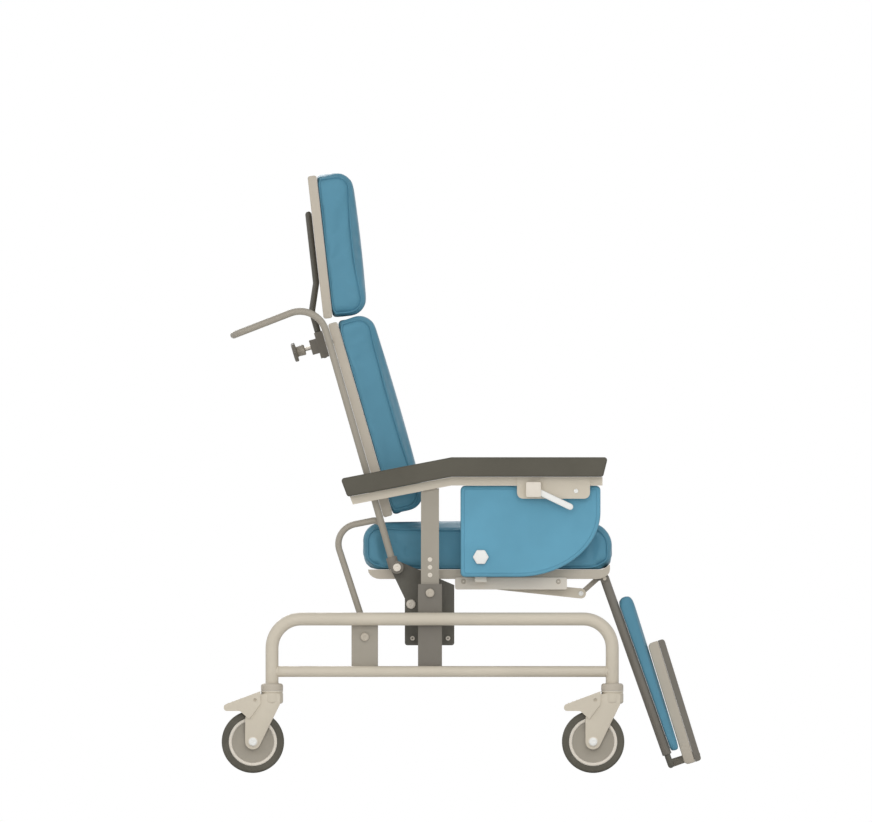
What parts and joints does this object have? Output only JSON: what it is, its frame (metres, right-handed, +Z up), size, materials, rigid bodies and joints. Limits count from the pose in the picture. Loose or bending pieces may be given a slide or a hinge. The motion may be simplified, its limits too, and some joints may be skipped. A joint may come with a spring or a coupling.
{
  "type": "tilt in space wheelchair",
  "caption": "Tilt in space care chair on braked casters, with a reclining padded back, adjustable headrest, rising arms with side panels, and a raising leg rest with a folding foot board.",
  "frame": {"origin": "on the floor under the middle of the chair's bounding box", "axes": "+X towards the foot board, +Y towards the sitter's left, +Z up"},
  "size_m": [0.9585, 0.6826, 1.1997],
  "materials": {
    "cushion_blue": "soft vinyl, matt",
    "panel_blue": "padded vinyl, matt",
    "board_grey": "satin shell",
    "frame_cream": "powder coat",
    "rail_cream": "powder coat",
    "tube_grey": "satin coat",
    "slate_grey": "satin coat",
    "dark_metal": "satin coat",
    "dark_pad": "moulded foam skin",
    "tyre_grey": "matt tread on a grey disc",
    "knob_white": "moulded"
  },
  "bodies": {
    "base": {"side_frame_left": "frame_cream", "side_frame_right": "frame_cream", "rear_cross_tube": "frame_cream", "front_cross_tube": "frame_cream", "pillar_left": "slate_grey", "pillar_right": "slate_grey", "rear_post_left": "tube_grey", "rear_post_right": "tube_grey"},
    "seat": {"seat_tray": "board_grey", "seat_cushion": "cushion_blue", "spring_channel": "dark_metal", "side_plate_left": "dark_metal", "side_plate_right": "dark_metal", "seat_rail_left": "rail_cream", "seat_rail_right": "rail_cream", "hoop_left": "tube_grey", "hoop_right": "tube_grey", "arm_upright_left": "tube_grey", "arm_upright_right": "tube_grey"},
    "guide_left": {"swivel_guide_left": "tube_grey"},
    "guide_right": {"swivel_guide_right": "tube_grey"},
    "spring_cylinder": {"gas_spring_cylinder": "dark_metal"},
    "spring_rod": {"gas_spring_rod": "rail_cream"},
    "back": {"back_frame": "tube_grey", "back_board": "board_grey", "back_cushion": "cushion_blue", "headrest_clamp": "slate_grey"},
    "clamp_knob": {"clamp_knob": "tube_grey"},
    "headrest": {"headrest_bar": "dark_metal", "headrest_board": "board_grey", "headrest_cushion": "cushion_blue"},
    "arm_left": {"arm_pad_left": "dark_pad", "arm_bracket_left": "frame_cream", "side_panel_left": "panel_blue"},
    "arm_right": {"arm_pad_right": "dark_pad", "arm_bracket_right": "frame_cream", "side_panel_right": "panel_blue"},
    "lever_left": {"release_lever_left": "knob_white"},
    "lever_right": {"release_lever_right": "knob_white"},
    "hex_knob_left": {"hex_knob_left": "knob_white"},
    "hex_knob_right": {"hex_knob_right": "knob_white"},
    "leg": {"leg_frame": "slate_grey", "calf_pad": "cushion_blue"},
    "leg_links": {"leg_links": "frame_cream"},
    "leg_rods": {"leg_rods": "tube_grey"},
    "foot_slide": {"foot_slide": "dark_metal"},
    "foot_board": {"foot_board": "board_grey", "foot_backing": "slate_grey"},
    "fork_front_left": {"caster_fork_front_left": "frame_cream"},
    "fork_front_right": {"caster_fork_front_right": "frame_cream"},
    "fork_rear_left": {"caster_fork_rear_left": "frame_cream"},
    "fork_rear_right": {"caster_fork_rear_right": "frame_cream"},
    "wheel_front_left": {"caster_wheel_front_left": "tyre_grey"},
    "wheel_front_right": {"caster_wheel_front_right": "tyre_grey"},
    "wheel_rear_left": {"caster_wheel_rear_left": "tyre_grey"},
    "wheel_rear_right": {"caster_wheel_rear_right": "tyre_grey"},
    "pedal_front_left": {"brake_pedal_front_left": "frame_cream"},
    "pedal_front_right": {"brake_pedal_front_right": "frame_cream"},
    "pedal_rear_left": {"brake_pedal_rear_left": "frame_cream"},
    "pedal_rear_right": {"brake_pedal_rear_right": "frame_cream"}
  },
  "joints": [
    {"name": "seat_tilt", "type": "hinge", "parent": "base", "child": "seat", "pos_m": [-0.062, 0, 0.36], "axis": [0, -1, 0], "range_deg": [0, 30]},
    {"name": "guide_left_swivel", "type": "hinge", "parent": "base", "child": "guide_left", "pos_m": [-0.1925, 0.277, 0.272], "axis": [0, -1, 0], "range_deg": [0, 30]},
    {"name": "guide_right_swivel", "type": "hinge", "parent": "base", "child": "guide_right", "pos_m": [-0.1925, -0.277, 0.272], "axis": [0, -1, 0], "range_deg": [0, 30]},
    {"name": "spring_swing", "type": "hinge", "parent": "base", "child": "spring_cylinder", "pos_m": [-0.296, 0, 0.308], "axis": [0, -1, 0], "range_deg": [-5, 5]},
    {"name": "spring_stroke", "type": "slide", "parent": "spring_cylinder", "child": "spring_rod", "axis": [0.9999, 0, -0.0167], "range_m": [0, 0.04]},
    {"name": "back_recline", "type": "hinge", "parent": "seat", "child": "back", "pos_m": [-0.128, 0, 0.411], "axis": [0, -1, 0], "range_deg": [0, 30]},
    {"name": "clamp_knob_turn", "type": "hinge", "parent": "back", "child": "clamp_knob", "pos_m": [-0.31599, 0, 0.84593], "axis": [0.9608, 0, 0.2773], "continuous": true},
    {"name": "headrest_height", "type": "slide", "parent": "back", "child": "headrest", "axis": [-0.2773, 0, 0.9608], "range_m": [0, 0.035]},
    {"name": "arm_left_height", "type": "slide", "parent": "seat", "child": "arm_left", "axis": [0, 0, 1], "range_m": [0, 0.03]},
    {"name": "arm_right_height", "type": "slide", "parent": "seat", "child": "arm_right", "axis": [0, 0, 1], "range_m": [0, 0.03]},
    {"name": "lever_left_lift", "type": "hinge", "parent": "arm_left", "child": "lever_left", "pos_m": [0.144, 0.318, 0.568], "axis": [0, -1, 0], "range_deg": [0, 25], "stiffness_Nm_per_rad": 0.1, "springref_deg": -17.19},
    {"name": "lever_right_lift", "type": "hinge", "parent": "arm_right", "child": "lever_right", "pos_m": [0.144, -0.318, 0.568], "axis": [0, -1, 0], "range_deg": [0, 25], "stiffness_Nm_per_rad": 0.1, "springref_deg": -17.19},
    {"name": "hex_knob_left_turn", "type": "hinge", "parent": "arm_left", "child": "hex_knob_left", "pos_m": [0.0396, 0.28, 0.432], "axis": [0, 1, 0], "continuous": true},
    {"name": "hex_knob_right_turn", "type": "hinge", "parent": "arm_right", "child": "hex_knob_right", "pos_m": [0.0396, -0.28, 0.432], "axis": [0, -1, 0], "continuous": true},
    {"name": "leg_raise", "type": "hinge", "parent": "seat", "child": "leg", "pos_m": [0.2872, 0, 0.389], "axis": [0, -1, 0], "range_deg": [0, 65]},
    {"name": "leg_link_swing", "type": "hinge", "parent": "seat", "child": "leg_links", "pos_m": [0.004, 0, 0.382], "axis": [0, -1, 0], "range_deg": [-5, 5]},
    {"name": "leg_rod_swing", "type": "hinge", "parent": "leg_links", "child": "leg_rods", "pos_m": [0.24, 0, 0.3592], "axis": [0, -1, 0], "range_deg": [-5, 5]},
    {"name": "foot_length", "type": "slide", "parent": "leg", "child": "foot_slide", "axis": [0.3346, 0, -0.9423], "range_m": [0, 0.06]},
    {"name": "foot_fold", "type": "hinge", "parent": "foot_slide", "child": "foot_board", "pos_m": [0.47105, 0, 0.03654], "axis": [0, 1, 0], "range_deg": [0, 90]},
    {"name": "swivel_front_left", "type": "hinge", "parent": "base", "child": "fork_front_left", "pos_m": [0.3025, 0.318, 0.164], "axis": [0, 0, 1], "continuous": true},
    {"name": "swivel_front_right", "type": "hinge", "parent": "base", "child": "fork_front_right", "pos_m": [0.3025, -0.318, 0.164], "axis": [0, 0, 1], "continuous": true},
    {"name": "swivel_rear_left", "type": "hinge", "parent": "base", "child": "fork_rear_left", "pos_m": [-0.378, 0.318, 0.164], "axis": [0, 0, 1], "continuous": true},
    {"name": "swivel_rear_right", "type": "hinge", "parent": "base", "child": "fork_rear_right", "pos_m": [-0.378, -0.318, 0.164], "axis": [0, 0, 1], "continuous": true},
    {"name": "wheel_turn_front_left", "type": "hinge", "parent": "fork_front_left", "child": "wheel_front_left", "pos_m": [0.2643, 0.318, 0.0625], "axis": [0, 1, 0], "continuous": true},
    {"name": "wheel_turn_front_right", "type": "hinge", "parent": "fork_front_right", "child": "wheel_front_right", "pos_m": [0.2643, -0.318, 0.0625], "axis": [0, 1, 0], "continuous": true},
    {"name": "wheel_turn_rear_left", "type": "hinge", "parent": "fork_rear_left", "child": "wheel_rear_left", "pos_m": [-0.4162, 0.318, 0.0625], "axis": [0, 1, 0], "continuous": true},
    {"name": "wheel_turn_rear_right", "type": "hinge", "parent": "fork_rear_right", "child": "wheel_rear_right", "pos_m": [-0.4162, -0.318, 0.0625], "axis": [0, 1, 0], "continuous": true},
    {"name": "pedal_press_front_left", "type": "hinge", "parent": "fork_front_left", "child": "pedal_front_left", "pos_m": [0.2685, 0.318, 0.146], "axis": [0, -1, 0], "range_deg": [0, 12]},
    {"name": "pedal_press_front_right", "type": "hinge", "parent": "fork_front_right", "child": "pedal_front_right", "pos_m": [0.2685, -0.318, 0.146], "axis": [0, -1, 0], "range_deg": [0, 12]},
    {"name": "pedal_press_rear_left", "type": "hinge", "parent": "fork_rear_left", "child": "pedal_rear_left", "pos_m": [-0.412, 0.318, 0.146], "axis": [0, -1, 0], "range_deg": [0, 12]},
    {"name": "pedal_press_rear_right", "type": "hinge", "parent": "fork_rear_right", "child": "pedal_rear_right", "pos_m": [-0.412, -0.318, 0.146], "axis": [0, -1, 0], "range_deg": [0, 12]}
  ],
  "couplings": [
    {"joint": "guide_left_swivel", "follows": "seat_tilt", "ratio": 1},
    {"joint": "guide_right_swivel", "follows": "seat_tilt", "ratio": 1},
    {"joint": "spring_swing", "follows": "seat_tilt", "ratio": -0.0388},
    {"joint": "spring_stroke", "follows": "seat_tilt", "m_per_rad": 0.0582},
    {"joint": "leg_link_swing", "follows": "leg_raise", "ratio": -0.029},
    {"joint": "leg_rod_swing", "follows": "leg_raise", "ratio": -0.0565}
  ]
}
